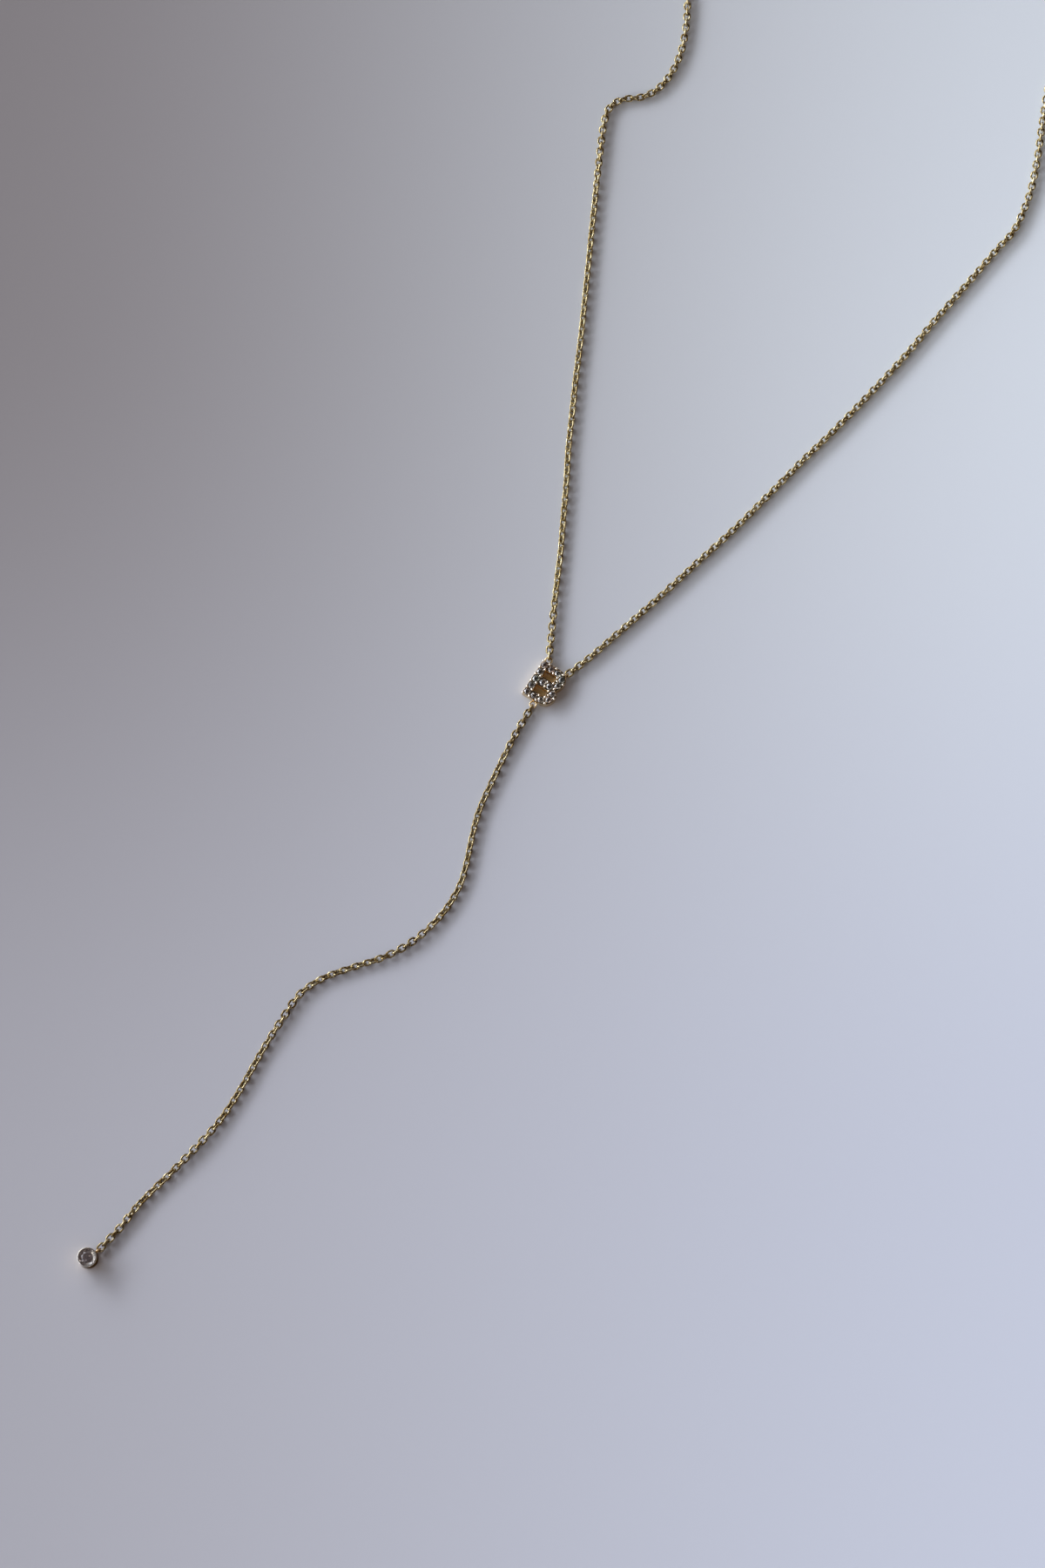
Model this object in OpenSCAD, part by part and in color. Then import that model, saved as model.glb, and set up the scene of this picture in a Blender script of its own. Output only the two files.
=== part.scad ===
// Lariat necklace with a stone-set initial, laid out flat. The neck loop runs up from the letter,
// and a free drop of chain, with a round stone in a cup, starts at the letter's foot.
// Millimetres, +Z up. It lies on z = 0, and the origin is the middle of the letter's back.

/* [Letter] */
// Height of the letter
letter_h = 5.2; // [5.2:0.05:5.4]
// Outer radius of the two bowls
bowl_r = 1.5; // [1.45:0.01:1.55]
// Distance from the stem's outer side to the bowls' centres
bowl_x = 2.6; // [2.55:0.01:2.65]
// Thickness of the metal
letter_t = 1.15; // [1.1:0.05:1.4]
// Angle that the letter is turned on the surface
letter_turn = -32.5; // [-40:0.5:-25]
// Left end of the two holes, from the stem's outer side
hole_x1 = 1.04; // [1.02:0.01:1.1]
// Right end of the two holes, from the stem's outer side
hole_x2 = 2.75; // [2.6:0.01:2.8]
// Height of each hole
hole_h = 0.94; // [0.8:0.01:0.96]
// Corner radius at the round end of each hole
hole_r = 0.3; // [0.2:0.01:0.4]

/* [Letter stones] */
// Diameter of a stone
stone_d = 0.88; // [0.8:0.01:0.9]
// Distance from the letter's edge to the stones' centres
stone_inset = 0.52; // [0.51:0.01:0.54]
// Clearance round a stone in its seat
seat_gap = 0.02; // [0.02:0.005:0.03]
// Radius of a grain prong
grain_r = 0.14; // [0.12:0.01:0.14]

/* [Soldered rings] */
// Outer diameter of a ring on the letter, the cup or the clasp
ring_d = 1.05; // [1:0.01:1.1]
// Wire of these rings
ring_wire = 0.23; // [0.2:0.01:0.25]

/* [Chain] */
// Length of a link
link_l = 1.36; // [1.34:0.01:1.4]
// Width of a link
link_w = 1; // [0.95:0.01:1]
// Wire of a link
link_wire = 0.2; // [0.18:0.01:0.2]
// Free gap where an end link passes through a ring
link_gap = 0.13; // [0.12:0.01:0.14]
// Number of links on the drop, an even number
drop_links = 116; // [116:2:118]

/* [Drop cup] */
// Outer diameter of the cup
cup_d = 2.5; // [2.45:0.05:2.6]
// Height of the cup
cup_h = 2.3; // [2.2:0.05:2.5]
// Diameter of the stone in the cup
drop_stone_d = 2.1; // [2.05:0.01:2.12]

/* [Clasp] */
// Outer diameter of the clasp's ring
clasp_d = 5; // [4.5:0.1:5.5]
// Wire of the clasp's ring
clasp_wire = 1; // [0.9:0.05:1]

/* [Hidden] */
$fn = 48;

gold = [0.86, 0.74, 0.48];
clear = [0.86, 0.88, 0.92];

// Routes of the chains on the surface, [x, y], from the letter outwards
left_route = [[0.8, 8], [1.3, 12.8], [1.9, 17.9], [2.3, 22.7], [2.7, 27.5], [3, 32.4], [3.5, 37.2],
    [4, 42.1], [4.6, 47], [5.1, 51.9], [5.6, 56.9], [6.1, 61.9], [6.6, 66.9], [7.1, 71.9], [7.6, 76.4],
    [8, 79.6], [8.9, 81.6], [10.8, 82.3], [13.2, 82.6], [15.4, 83.9], [17.4, 86.6], [18.8, 90.6],
    [19.4, 96], [19.2, 103], [18.6, 110.5], [18.4, 118.5], [19.2, 126.5], [21.2, 134.5], [24.4, 142.4],
    [28.8, 149.8], [34.4, 156.2], [41, 161.4], [48.4, 165.2]];
right_route = [[5.8, 3.9], [9.3, 7], [14.5, 11.7], [19.6, 16.5], [24.7, 21.3], [29.4, 26.1], [34, 30.9],
    [38.8, 35.7], [43.4, 40.6], [47.8, 45.5], [51.8, 50.4], [56.1, 55.4], [60.2, 60.3], [62.5, 62.9],
    [64, 65.8], [65.3, 69.4], [66.3, 73.9], [67.1, 78.8], [68.3, 85], [70.4, 92], [73.4, 99.2],
    [77, 106.6], [80.6, 114.6], [83.4, 123], [84.8, 131.6], [84.4, 140.2], [82, 148.4], [77.8, 155.6],
    [72, 161.6]];
drop_route = [[-3.8, -6.2], [-5.5, -9.6], [-7.1, -13.1], [-8.6, -16.6], [-9.5, -20], [-10.2, -23.5],
    [-11.2, -26.8], [-13.4, -30.3], [-16.7, -33.5], [-20.3, -35.6], [-24.7, -37.1], [-28.4, -38.5],
    [-31.2, -40.5], [-33.4, -43.7], [-35.5, -47.1], [-37.3, -50.4], [-39.2, -53.8], [-41.4, -57.1],
    [-44.3, -60.4], [-47.4, -63.6], [-50.7, -66.9], [-53.3, -70.2]];

// How far the drop's links have rolled, [distance from the letter, degrees]
drop_rolls = [[0, 0], [3, 0], [9, 45], [31, 45], [36, 85], [41, 45], [49, 45], [54, 85], [59, 45],
    [70, 45], [75, 85], [80, 45], [83, 45], [88, 0], [93, 0]];

// Middle of the letter in its own frame, and the places of the clasp and the cup on the surface
letter_mid = [2.05, letter_h / 2];
clasp_at = [60.2, 168.2];
clasp_turn = -6;
cup_at = [-57, -73.9];
cup_eye_turn = 40;

// Parts of a cut stone, as shares of its diameter
table_part = 0.55;
crown_part = 0.15;
girdle_part = 0.04;
pavilion_part = 0.42;

// Shares of the cup's height: foot chamfer, top of the back hole, seat, groove and lip
foot_part = 0.2;
back_part = 0.3;
seat_part = 0.72;
groove_part = 0.88;

// Radius of the cup's back hole, width of its foot chamfer, and how far its lip covers the stone
cup_back_r = 0.45;
cup_chamfer = 0.12;
lip_cover = 0.03;
lip_round = 0.07;

// Meshing of the curves, links and tubes, and how much fuller a link's shoulders are than an arc
shoulder = 1.05;
curve_steps = 6;
link_sides = 10;
wire_sides = 5;
tube_sides = 8;

// Depth that a soldered ring, a grain or a stone's girdle sits in the metal that carries it
solder = 0.1;
grain_sink = 0.1;
girdle_sink = 0.02;

// Place of the rings on the letter and the cup, and the start of a neck chain's tube past its end link
foot_ring_x = 2;
right_eye_turn = 56;
right_eye_out = 0.13;
right_eye_lean = 39.5;
cup_eye_out = 0.2;
tube_start = 0.15;

// Distance from the letter at which each neck chain's front part meets its back part, and their gap
left_split = 75;
right_split = 85;
split_gap = 0.12;

// Each stone of the letter is turned this much further than the one before
stone_twist = 9;

chain_z = link_w / 2;
tube_z = chain_z * cos(180 / tube_sides);
ring_mid = (ring_d - ring_wire) / 2;
end_reach = ring_mid + (link_l - link_wire) / 2 - (ring_wire + link_wire) / 2 - link_gap;
row_step = (letter_h - 2 * stone_inset) / 4;
row_x = (stone_inset + bowl_x) / 2;
stone_z = letter_t - girdle_sink;

// The stones' centres in the letter's frame: the stem, then the rows and the bowls
function row_y(k) = stone_inset + k * row_step;
function on_bowl(top, a, r) = [bowl_x, top ? letter_h - bowl_r : bowl_r] + r * [cos(a), sin(a)];
stones = [
    for (k = [0 : 4]) [stone_inset, row_y(k)],
    for (k = [4, 2, 0], x = [row_x, bowl_x]) [x, row_y(k)],
    for (top = [true, false], a = [30, -30]) on_bowl(top, a, bowl_r - stone_inset)];

// Grain prongs beside the line from one stone to the next, [stone, next stone, to the left, to the right].
// They sit at one of three offsets: by a straight edge, by a hole or by a round edge.
at_edge = 0.4;
at_hole = 0.36;
at_round = 0.47;
grains = [[0, 1, at_edge, at_hole], [1, 2, at_edge, at_hole], [2, 3, at_edge, at_hole],
    [3, 4, at_edge, at_hole], [4, 5, at_edge, 0], [5, 6, at_edge, at_hole], [7, 8, at_hole, at_hole],
    [0, 9, 0, at_edge], [9, 10, at_hole, at_edge], [6, 11, at_round, at_hole],
    [11, 12, at_round, at_hole], [12, 8, 0, at_hole], [8, 13, 0, at_hole],
    [13, 14, at_round, at_hole], [14, 10, at_round, at_hole]];
corner_grain = 0.1;
notch_grain = [3.3, letter_h / 2];

function left_of(a, b) = [a[1] - b[1], b[0] - a[0]] / norm(b - a);
function beside(g, side) = (stones[g[0]] + stones[g[1]]) / 2 + side * left_of(stones[g[0]], stones[g[1]]);
grain_places = [
    for (g = grains) each [if (g[2] > 0) beside(g, g[2]), if (g[3] > 0) beside(g, -g[3])],
    [corner_grain, corner_grain], [corner_grain, letter_h - corner_grain], notch_grain];

// Where the chains start and end on the surface
function turned(p, a) = [p[0] * cos(a) - p[1] * sin(a), p[0] * sin(a) + p[1] * cos(a)];
function laid(p) = turned(p - letter_mid, letter_turn);
left_ring = [stone_inset, letter_h + ring_d / 2 - solder];
foot_ring = [foot_ring_x, solder - ring_d / 2];
right_eye = on_bowl(true, right_eye_turn, bowl_r + right_eye_out);
clasp_reach = (clasp_d + ring_d) / 2 - solder;
cup_reach = cup_d / 2 + cup_eye_out;

// A smooth curve through a path's points, as rows of [length so far, x, y]
function held(p, i) =
    i < 0 ? 2 * p[0] - p[1] : i >= len(p) ? 2 * p[len(p) - 1] - p[len(p) - 2] : p[i];
function between(a, b, c, d, t) =
    b + ((c - a) * t + (2 * a - 5 * b + 4 * c - d) * t ^ 2 + (3 * b - a - 3 * c + d) * t ^ 3) / 2;
function curve(p) = [
    for (i = [0 : len(p) - 2], k = [0 : curve_steps - 1])
        between(held(p, i - 1), p[i], p[i + 1], held(p, i + 2), k / curve_steps),
    p[len(p) - 1]];
function measured(q) = [
    for (i = 0, s = 0; i < len(q); s = s + (i + 1 < len(q) ? norm(q[i + 1] - q[i]) : 0), i = i + 1)
        [s, q[i][0], q[i][1]]];
function total(track) = track[len(track) - 1][0];
function at(track, s) = [for (axis = [1, 2]) lookup(s, [for (r = track) [r[0], r[axis]]])];
function heading(track, s) =
    let (step = at(track, s + link_w / 4) - at(track, s - link_w / 4)) atan2(step[1], step[0]);

left_path = concat([laid(left_ring)], left_route, [clasp_at + turned([-clasp_reach, 0], clasp_turn)]);
right_path = concat([laid(right_eye)], right_route, [clasp_at + turned([clasp_reach, 0], clasp_turn)]);
drop_path = concat([laid(foot_ring)], drop_route, [cup_at + turned([cup_reach, 0], cup_eye_turn)]);
left_track = measured(curve(left_path));
right_track = measured(curve(right_path));
drop_track = measured(curve(drop_path));
drop_pitch = (total(drop_track) - 2 * end_reach) / (drop_links - 1);

// The corners of one link: an oval of round wire in its own plane, rolled about the chain's direction
function oval(k) =
    let (a = 90 - k * 360 / (link_sides - 2), right = k < link_sides / 2)
    right ? [(link_l - link_w) / 2, 0, a] : [(link_w - link_l) / 2, 0, a + 360 / (link_sides - 2)];
function link_points(at_xyz, head, roll) =
    let (along = [cos(head), sin(head), 0], across = [-sin(head), cos(head), 0], up = [0, 0, 1],
        side = cos(roll) * across + sin(roll) * up, face = cos(roll) * up - sin(roll) * across)
    [for (k = [0 : link_sides - 1], m = [0 : wire_sides - 1])
        let (o = oval(k), out = cos(o[2]) * along + sin(o[2]) * side, u = m * 360 / wire_sides,
            full = o[2] % 90 == 0 ? 1 : shoulder)
        at_xyz + o[0] * along + full * (link_w - link_wire) / 2 * out
            + link_wire / 2 * (cos(u) * out + sin(u) * face)];
function ring_faces(rings, sides, first) = [
    for (k = [0 : rings - 1], m = [0 : sides - 1])
        let (n = (k + 1) % rings, o = (m + 1) % sides)
        [first + k * sides + m, first + k * sides + o, first + n * sides + o, first + n * sides + m]];
function low_z(roll) = (link_w - link_wire) / 2 * max(abs(sin(roll)), abs(cos(roll))) + link_wire / 2;

module links(rows) {
    polyhedron(
        points = [for (r = rows) each link_points(r[0], r[1], r[2])],
        faces = [for (i = [0 : len(rows) - 1])
            each ring_faces(link_sides, wire_sides, i * link_sides * wire_sides)]);
}

// A ring of round wire about the Z axis
module wire_ring(d, wire) {
    rotate_extrude() translate([(d - wire) / 2, 0]) circle(d = wire);
}

module standing_ring(turn) {
    translate([0, 0, ring_d / 2]) rotate([0, 0, turn]) rotate([90, 0, 0]) wire_ring(ring_d, ring_wire);
}

module lying_ring() {
    translate([0, 0, chain_z]) wire_ring(ring_d, ring_wire);
}

// A round stone with its girdle on z = 0, table up
module cut_stone(d) {
    table = [for (k = [0 : 7]) [table_part * d / 2 * cos(45 * k), table_part * d / 2 * sin(45 * k),
        (crown_part + girdle_part / 2) * d]];
    girdle = [for (z = [girdle_part / 2, -girdle_part / 2], k = [0 : 15])
        [d / 2 * cos(22.5 * k), d / 2 * sin(22.5 * k), z * d]];
    culet = [0, 0, -(pavilion_part + girdle_part / 2) * d];
    crown = [for (k = [0 : 7]) let (t = (k + 1) % 8, g = 8 + 2 * k, h = 8 + (2 * k + 2) % 16)
        each [[k, g + 1, g], [k, t, g + 1], [t, h, g + 1]]];
    band = [for (k = [0 : 15]) let (n = (k + 1) % 16) [8 + k, 8 + n, 24 + n, 24 + k]];
    pavilion = [for (k = [0 : 15]) [24 + k, 24 + (k + 1) % 16, 40]];
    polyhedron(points = concat(table, girdle, [culet]),
        faces = concat([[7, 6, 5, 4, 3, 2, 1, 0]], crown, band, pavilion));
}

module letter_outline() {
    square([bowl_x, letter_h]);
    for (y = [bowl_r, letter_h - bowl_r]) translate([bowl_x, y]) circle(r = bowl_r);
}

module letter_hole() {
    flat = hole_h / 2 - hole_r;
    translate([hole_x1, -hole_h / 2]) square([hole_x2 - hole_r - hole_x1, hole_h]);
    translate([hole_x1, -flat]) square([hole_x2 - hole_x1, 2 * flat]);
    for (y = [flat, -flat]) translate([hole_x2 - hole_r, y]) circle(r = hole_r);
}

// The hole that a stone sits in: a cone under the girdle, then a straight wall up past the metal's face
module stone_seat() {
    wall_r = stone_d / 2 + seat_gap;
    wall_z = -girdle_part * stone_d;
    tip_z = wall_z - (pavilion_part + girdle_part) * stone_d;
    rotate_extrude() polygon([[0, tip_z], [seat_gap * 2, tip_z], [wall_r, wall_z], [wall_r, letter_t],
        [0, letter_t]]);
}

module letter_frame() {
    color(gold) rotate([0, 0, letter_turn]) translate([-letter_mid[0], -letter_mid[1], 0]) {
        difference() {
            union() {
                linear_extrude(letter_t) difference() {
                    letter_outline();
                    for (y = [bowl_r, letter_h - bowl_r]) translate([0, y]) letter_hole();
                }
                for (p = [left_ring, foot_ring]) translate([p[0], p[1], 0]) lying_ring();
                translate([right_eye[0], right_eye[1], 0]) standing_ring(right_eye_lean - letter_turn);
            }
            for (p = stones) translate([p[0], p[1], stone_z]) stone_seat();
        }
        for (p = grain_places)
            translate([p[0], p[1], letter_t + grain_r - grain_sink]) sphere(r = grain_r);
    }
}

module letter_stone(k) {
    place = laid(stones[k - 1]);
    color(clear) translate([place[0], place[1], stone_z]) rotate([0, 0, letter_turn + stone_twist * k])
        cut_stone(stone_d);
}

// A fine chain's outer form: a tube along the route from one distance to another, with a real link
// at the end that holds a ring
module neck_chain(path, track, tube_from, tube_to, link_at, link_roll) {
    rings = concat([at(track, tube_from)],
        [for (i = [1 : len(path) - 2]) let (s = track[i * curve_steps][0])
            if (s > tube_from + link_w && s < tube_to - link_w) path[i]],
        [at(track, tube_to)]);
    last = len(rings) - 1;
    turn = [for (i = [0 : last])
        let (a = rings[max(i - 1, 0)], b = rings[min(i + 1, last)]) atan2(b[1] - a[1], b[0] - a[0])];
    sides = [for (m = [0 : tube_sides - 1]) 180 / tube_sides + m * 360 / tube_sides];
    color(gold) union() {
        polyhedron(
            points = [for (i = [0 : last], u = sides)
                [rings[i][0], rings[i][1], tube_z]
                    + chain_z * [-sin(turn[i]) * cos(u), cos(turn[i]) * cos(u), sin(u)]],
            faces = concat(
                [[for (m = [0 : tube_sides - 1]) m]],
                [for (i = [0 : last - 1], m = [0 : tube_sides - 1])
                    let (a = i * tube_sides, b = a + tube_sides, n = (m + 1) % tube_sides)
                    [a + m, b + m, b + n, a + n]],
                [[for (m = [tube_sides - 1 : -1 : 0]) last * tube_sides + m]]));
        links([[[each at(track, link_at), chain_z], heading(track, link_at), link_roll]]);
    }
}

module neck_front(path, track, split, roll) {
    neck_chain(path, track, end_reach + tube_start, split - split_gap / 2, end_reach, roll);
}

module neck_back(path, track, split) {
    reach = total(track) - end_reach;
    neck_chain(path, track, split + split_gap / 2, reach - tube_start, reach, 90);
}

module neck_chain_left() {
    neck_front(left_path, left_track, left_split, 90);
}

module neck_chain_left_back() {
    neck_back(left_path, left_track, left_split);
}

module neck_chain_right() {
    neck_front(right_path, right_track, right_split, 0);
}

module neck_chain_right_back() {
    neck_back(right_path, right_track, right_split);
}

module clasp() {
    color(gold) translate([clasp_at[0], clasp_at[1], 0]) rotate([0, 0, clasp_turn]) {
        translate([0, 0, clasp_wire / 2]) wire_ring(clasp_d, clasp_wire);
        for (x = [-clasp_reach, clasp_reach]) translate([x, 0, 0]) lying_ring();
    }
}

module drop_chain() {
    color(gold) links([for (i = [0 : drop_links - 1])
        let (s = end_reach + i * drop_pitch, p = at(drop_track, s), base = lookup(s, drop_rolls))
        [[p[0], p[1], low_z(base)], heading(drop_track, s), base + 90 * (i + 1)]]);
}

module drop_cup() {
    lip_r = drop_stone_d / 2 - lip_cover;
    groove_r = drop_stone_d / 2 + lip_cover;
    color(gold) translate([cup_at[0], cup_at[1], 0]) {
        rotate_extrude() polygon([[cup_back_r, 0], [cup_d / 2 - cup_chamfer, 0],
            [cup_d / 2, foot_part * cup_h], [cup_d / 2, cup_h - lip_round],
            [cup_d / 2 - lip_round, cup_h], [lip_r + lip_round, cup_h], [lip_r, cup_h - lip_round],
            [lip_r, groove_part * cup_h], [groove_r, groove_part * cup_h],
            [groove_r, seat_part * cup_h], [cup_back_r, back_part * cup_h]]);
        rotate([0, 0, cup_eye_turn]) translate([cup_reach, 0, 0]) standing_ring(0);
    }
}

module drop_stone() {
    color(clear) translate([cup_at[0], cup_at[1], (seat_part + groove_part) / 2 * cup_h])
        cut_stone(drop_stone_d);
}

letter_frame();
letter_stone(1);  // letter_stone_1
letter_stone(2);  // letter_stone_2
letter_stone(3);  // letter_stone_3
letter_stone(4);  // letter_stone_4
letter_stone(5);  // letter_stone_5
letter_stone(6);  // letter_stone_6
letter_stone(7);  // letter_stone_7
letter_stone(8);  // letter_stone_8
letter_stone(9);  // letter_stone_9
letter_stone(10);  // letter_stone_10
letter_stone(11);  // letter_stone_11
letter_stone(12);  // letter_stone_12
letter_stone(13);  // letter_stone_13
letter_stone(14);  // letter_stone_14
letter_stone(15);  // letter_stone_15
neck_chain_left();
neck_chain_left_back();
neck_chain_right();
neck_chain_right_back();
clasp();
drop_chain();
drop_cup();
drop_stone();
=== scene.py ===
import math
import random

import bmesh
import bpy
from mathutils import Matrix, Vector


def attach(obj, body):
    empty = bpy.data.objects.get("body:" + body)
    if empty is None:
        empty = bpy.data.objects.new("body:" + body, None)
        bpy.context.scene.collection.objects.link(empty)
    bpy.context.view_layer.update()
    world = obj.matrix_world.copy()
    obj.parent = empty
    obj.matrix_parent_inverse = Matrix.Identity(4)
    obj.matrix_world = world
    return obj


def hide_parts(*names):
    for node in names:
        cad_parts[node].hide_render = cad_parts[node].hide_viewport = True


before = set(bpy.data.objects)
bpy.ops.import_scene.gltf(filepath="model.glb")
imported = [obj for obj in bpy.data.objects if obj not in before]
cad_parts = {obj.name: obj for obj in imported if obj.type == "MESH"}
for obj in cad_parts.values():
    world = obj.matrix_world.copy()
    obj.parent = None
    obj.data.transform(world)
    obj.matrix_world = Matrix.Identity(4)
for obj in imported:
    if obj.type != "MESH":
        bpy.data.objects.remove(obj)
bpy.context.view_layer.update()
mm = 0.001
print("stage: frame loaded")


# small helpers for meshes; every piece is drawn in millimetres and made in metres

mergeGap = 1e-4  # points nearer than this are made one
axisGap = 1e-6  # a profile point nearer than this is on the axis


def addObject(name, data):
    made = bpy.data.objects.new(name, data)
    bpy.context.scene.collection.objects.link(made)
    return made


def meshFrom(name, points, faces):
    mesh = bpy.data.meshes.new(name)
    mesh.from_pydata([tuple(p) for p in points], [], faces)
    return mesh


def turnOutwards(mesh, mergePoints=False):
    work = bmesh.new()
    work.from_mesh(mesh)
    if mergePoints:
        bmesh.ops.remove_doubles(work, verts=work.verts, dist=mergeGap)
    bmesh.ops.recalc_face_normals(work, faces=work.faces)
    work.to_mesh(mesh)
    work.free()
    return mesh


def joinMeshes(name, parts):
    # parts is a list of (mesh, matrix)
    work = bmesh.new()
    for mesh, place in parts:
        piece = bmesh.new()
        piece.from_mesh(mesh)
        piece.transform(place)
        step = bpy.data.meshes.new("step")
        piece.to_mesh(step)
        piece.free()
        work.from_mesh(step)
        bpy.data.meshes.remove(step)
    joined = bpy.data.meshes.new(name)
    work.to_mesh(joined)
    work.free()
    return joined


def circlePoints(radius, height, count, shift=0.0):
    return [(radius * math.cos(2 * math.pi * (k + shift) / count),
             radius * math.sin(2 * math.pi * (k + shift) / count), height) for k in range(count)]


def latheMesh(name, profile, sides, closed=False):
    # turns a profile of (radius, height) about Z; a radius of 0 closes on the axis
    points, faces, rows = [], [], []
    for radius, height in profile:
        made = [(0, 0, height)] if radius < axisGap else circlePoints(radius, height, sides)
        rows.append(list(range(len(points), len(points) + len(made))))
        points += made
    pairs = list(zip(rows, rows[1:])) + ([(rows[-1], rows[0])] if closed else [])
    for low, high in pairs:
        for k in range(sides):
            n = (k + 1) % sides
            corners = [low[k % len(low)], low[n % len(low)], high[n % len(high)], high[k % len(high)]]
            faces.append([c for i, c in enumerate(corners) if c not in corners[:i]])
    return turnOutwards(meshFrom(name, points, faces))


def ringMesh(s):
    # a ring of round wire that lies flat about its own middle
    middle = (s["outer"] - s["wire"]) / 2
    section = circlePoints(s["wire"] / 2, 0, s["across"])
    return latheMesh("ring", [(middle + p[0], p[1]) for p in section], s["around"], closed=True)


def outlineMesh(outlines, s):
    # a flat shape with holes, its edges rounded, standing on z = 0
    curve = bpy.data.curves.new("outline", "CURVE")
    curve.dimensions = "2D"
    curve.fill_mode = "BOTH"
    curve.extrude = s["thickness"] / 2 - s["edgeRound"]
    curve.bevel_depth = s["edgeRound"]
    curve.bevel_resolution = s["edgeSteps"]
    curve.offset = -s["edgeRound"]
    for outline in outlines:
        spline = curve.splines.new("POLY")
        spline.points.add(len(outline) - 1)
        for point, (x, y) in zip(spline.points, outline):
            point.co = (x, y, 0, 1)
        spline.use_cyclic_u = True
    holder = addObject("outline", curve)
    solid = bpy.data.meshes.new_from_object(holder)
    bpy.data.objects.remove(holder)
    solid.transform(Matrix.Translation((0, 0, s["thickness"] / 2)))
    return turnOutwards(solid, mergePoints=True)


def cutMesh(mesh, toolMesh):
    base = addObject("base", mesh)
    tool = addObject("tool", toolMesh)
    change = base.modifiers.new("change", "BOOLEAN")
    change.operation = "DIFFERENCE"
    change.solver = "EXACT"
    change.object = tool
    change.use_self = True
    graph = bpy.context.evaluated_depsgraph_get()
    made = bpy.data.meshes.new_from_object(base.evaluated_get(graph))
    for holder in (base, tool):
        bpy.data.objects.remove(holder)
    return made


def markFaces(mesh, slot, chosen):
    for face in mesh.polygons:
        face.material_index = slot if chosen(face.center) else 0


def finishPiece(name, mesh, materials, replaced, sharpAngle=None):
    # the piece stands for its CAD nodes, with its place in its mesh
    for material in materials:
        mesh.materials.append(material)
    mesh.shade_smooth()
    if sharpAngle is not None:
        mesh.set_sharp_from_angle(angle=math.radians(sharpAngle))
    mesh.name = name
    piece = addObject(name, mesh)
    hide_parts(*replaced)
    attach(piece, "root")
    print("stage: made", name, len(mesh.polygons), "faces")


def turnedPoint(x, y, degrees):
    a = math.radians(degrees)
    return (x * math.cos(a) - y * math.sin(a), x * math.sin(a) + y * math.cos(a))


def besidePoint(center, reach, degrees):
    dx, dy = turnedPoint(reach, 0, degrees)
    return (center[0] + dx, center[1] + dy)


def arcPoints(center, radius, start, end, steps):
    return [besidePoint(center, radius, start + (end - start) * k / steps) for k in range(steps + 1)]


# small helpers for node trees

def feed(tree, value, socket):
    if isinstance(value, bpy.types.NodeSocket):
        tree.links.new(value, socket)
    else:
        socket.default_value = value


def addNode(tree, kind, sockets=None, **settings):
    made = tree.nodes.new(kind)
    for key, value in settings.items():
        setattr(made, key, value)
    for key, value in (sockets or {}).items():
        feed(tree, value, made.inputs[key])
    return made


def calc(tree, operation, a, b=0.0):
    return addNode(tree, "ShaderNodeMath", {0: a, 1: b}, operation=operation).outputs[0]


def calcVector(tree, operation, a, b=(0, 0, 0)):
    made = addNode(tree, "ShaderNodeVectorMath", {0: a, 1: b}, operation=operation)
    return made.outputs["Value" if operation == "LENGTH" else "Vector"]


def mapRange(tree, value, edges, ends=(0.0, 1.0), kind="LINEAR"):
    return addNode(tree, "ShaderNodeMapRange", {0: value, 1: edges[0], 2: edges[1], 3: ends[0], 4: ends[1]},
                   interpolation_type=kind).outputs[0]


def mixColor(tree, share, first, second):
    return addNode(tree, "ShaderNodeMix", {0: share, 6: first, 7: second}, data_type="RGBA").outputs[2]


def patchShare(tree, place, scale, detail, edges):
    # a share from 0 to 1 that changes in soft patches
    noise = addNode(tree, "ShaderNodeTexNoise", {"Vector": place, "Scale": scale, "Detail": detail})
    return mapRange(tree, noise.outputs[0], edges)


def newMaterial(name):
    material = bpy.data.materials.new(name)
    material.use_nodes = True
    tree = material.node_tree
    place = addNode(tree, "ShaderNodeTexCoord").outputs["Object"]
    return material, tree, tree.nodes["Principled BSDF"].inputs, place


def newGeometryTree(name, inputs):
    tree = bpy.data.node_groups.new(name, "GeometryNodeTree")
    tree.interface.new_socket("Geometry", in_out="INPUT", socket_type="NodeSocketGeometry")
    tree.interface.new_socket("Geometry", in_out="OUTPUT", socket_type="NodeSocketGeometry")
    for label, kind in inputs:
        tree.interface.new_socket(label, in_out="INPUT", socket_type="NodeSocket" + kind)
    return tree, tree.nodes.new("NodeGroupInput"), tree.nodes.new("NodeGroupOutput")


def growMesh(name, seedMesh, tree, values):
    # runs a geometry tree on a seed mesh and hands back the plain mesh
    holder = addObject(name, seedMesh)
    modifier = holder.modifiers.new("grow", "NODES")
    modifier.node_group = tree
    for item in tree.interface.items_tree:
        if item.item_type == "SOCKET" and item.in_out == "INPUT" and item.name in values:
            modifier[item.identifier] = values[item.name]
    graph = bpy.context.evaluated_depsgraph_get()
    grown = bpy.data.meshes.new_from_object(holder.evaluated_get(graph), preserve_all_data_layers=True,
                                            depsgraph=graph)
    holder.modifiers.clear()
    bpy.data.objects.remove(holder)
    return grown


# materials: each gold has its two tones, its gloss and the scales of its patches and polishing marks; some
# golds are darker or paler copies that paint shade or highlight, as said at each

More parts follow.
